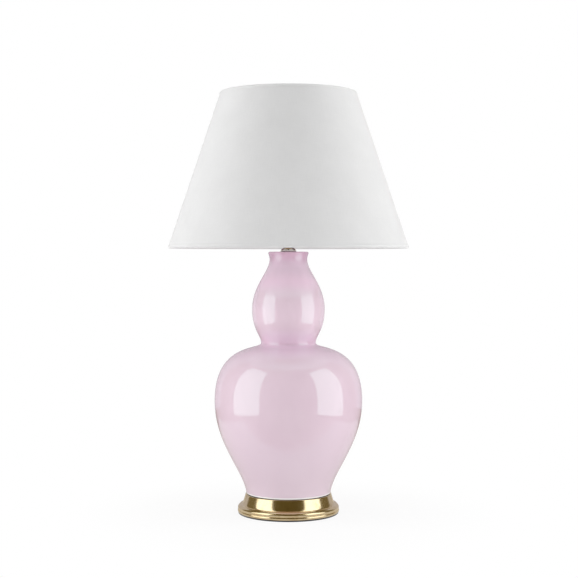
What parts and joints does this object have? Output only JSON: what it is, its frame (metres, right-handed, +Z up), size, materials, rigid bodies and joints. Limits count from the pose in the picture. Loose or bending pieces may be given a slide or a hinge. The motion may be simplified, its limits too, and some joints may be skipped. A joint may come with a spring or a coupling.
{
  "type": "table lamp",
  "caption": "Double gourd pottery table lamp with a turned brass base and a tapered empire shade on a harp.",
  "frame": {"origin": "centre of the underside of the felt pad, on the floor", "axes": "+Z up along the lamp's axis; +Y to the back, where the cord bushing is; the switch faces -Y"},
  "size_m": [0.4057, 0.4058, 0.7183],
  "materials": {
    "glaze": "high gloss, lilac pink",
    "brass": "polished with fine turning lines",
    "fitting_brass": "satin",
    "polished_nickel": "mirror polish",
    "felt": "matte felt",
    "rubber": "matte",
    "steel": "zinc plated",
    "paper": "brown insulating paper",
    "phenolic": "moulded, semi gloss",
    "bushing_plastic": "moulded, matte",
    "bulb_metal": "satin",
    "bulb_glass": "frosted white inside",
    "shade_fabric": "fine plain weave, off-white",
    "shade_liner": "white styrene",
    "spider_wire": "white enamel"
  },
  "bodies": {
    "lamp_body": {"felt_pad": "felt", "base_foot": "brass", "cord_bushing": "bushing_plastic", "steel_washer": "steel", "lock_washer": "steel", "bottom_nut": "steel", "foot_gasket": "rubber", "lamp_pipe": "fitting_brass", "gourd_body": "glaze", "mouth_washer": "rubber", "dome_cap": "polished_nickel", "neck_ring": "polished_nickel", "harp_saddle": "polished_nickel", "socket_cap": "fitting_brass", "cap_screw": "steel", "socket_shell": "fitting_brass", "socket_paper": "paper", "holder_block": "phenolic", "terminal_screws": "steel", "screw_shell": "fitting_brass", "centre_tab": "fitting_brass"},
    "switch": {"switch_shaft": "fitting_brass", "switch_knob": "phenolic"},
    "bulb_tip": {"bulb_contact": "bulb_metal"},
    "bulb": {"bulb_insulator": "phenolic", "bulb_cap": "bulb_metal", "bulb_glass": "bulb_glass"},
    "harp": {"harp_hoop": "fitting_brass", "harp_feet": "fitting_brass", "harp_seat": "fitting_brass", "harp_stud": "fitting_brass"},
    "left_sleeve": {"sleeve_left": "fitting_brass"},
    "right_sleeve": {"sleeve_right": "fitting_brass"},
    "shade": {"spider_hub": "spider_wire", "spider_arms": "spider_wire", "shade_top_ring": "spider_wire", "shade_bottom_ring": "spider_wire", "shade_liner": "shade_liner", "shade_skin": "shade_fabric", "shade_seam": "shade_fabric", "top_hem": "shade_fabric", "bottom_hem": "shade_fabric"},
    "finial_core": {"finial_insert": "steel"},
    "finial": {"finial_knob": "brass"}
  },
  "joints": [
    {"name": "switch_turn", "type": "hinge", "parent": "lamp_body", "child": "switch", "pos_m": [0, 0, 0.4808], "axis": [0, 1, 0], "continuous": true},
    {"name": "bulb_rise", "type": "slide", "parent": "lamp_body", "child": "bulb_tip", "axis": [0, 0, 1], "range_m": [0, 0.0128]},
    {"name": "bulb_turn", "type": "hinge", "parent": "bulb_tip", "child": "bulb", "pos_m": [0, 0, 0.5], "axis": [0, 0, 1], "range_deg": [0, 1260]},
    {"name": "harp_lift", "type": "slide", "parent": "lamp_body", "child": "harp", "axis": [0, 0, 1], "range_m": [0, 0.02]},
    {"name": "left_sleeve_lift", "type": "slide", "parent": "harp", "child": "left_sleeve", "axis": [0, 0, 1], "range_m": [0, 0.0125]},
    {"name": "right_sleeve_lift", "type": "slide", "parent": "harp", "child": "right_sleeve", "axis": [0, 0, 1], "range_m": [0, 0.0125]},
    {"name": "shade_turn", "type": "hinge", "parent": "harp", "child": "shade", "pos_m": [0, 0, 0.695], "axis": [0, 0, 1], "continuous": true},
    {"name": "finial_rise", "type": "slide", "parent": "harp", "child": "finial_core", "axis": [0, 0, 1], "range_m": [0, 0.0095]},
    {"name": "finial_turn", "type": "hinge", "parent": "finial_core", "child": "finial", "pos_m": [0, 0, 0.7], "axis": [0, 0, 1], "range_deg": [0, 3600]}
  ],
  "couplings": [
    {"joint": "bulb_rise", "follows": "bulb_turn", "m_per_rad": 0.0005775},
    {"joint": "finial_rise", "follows": "finial_turn", "m_per_rad": 0.00014972}
  ]
}
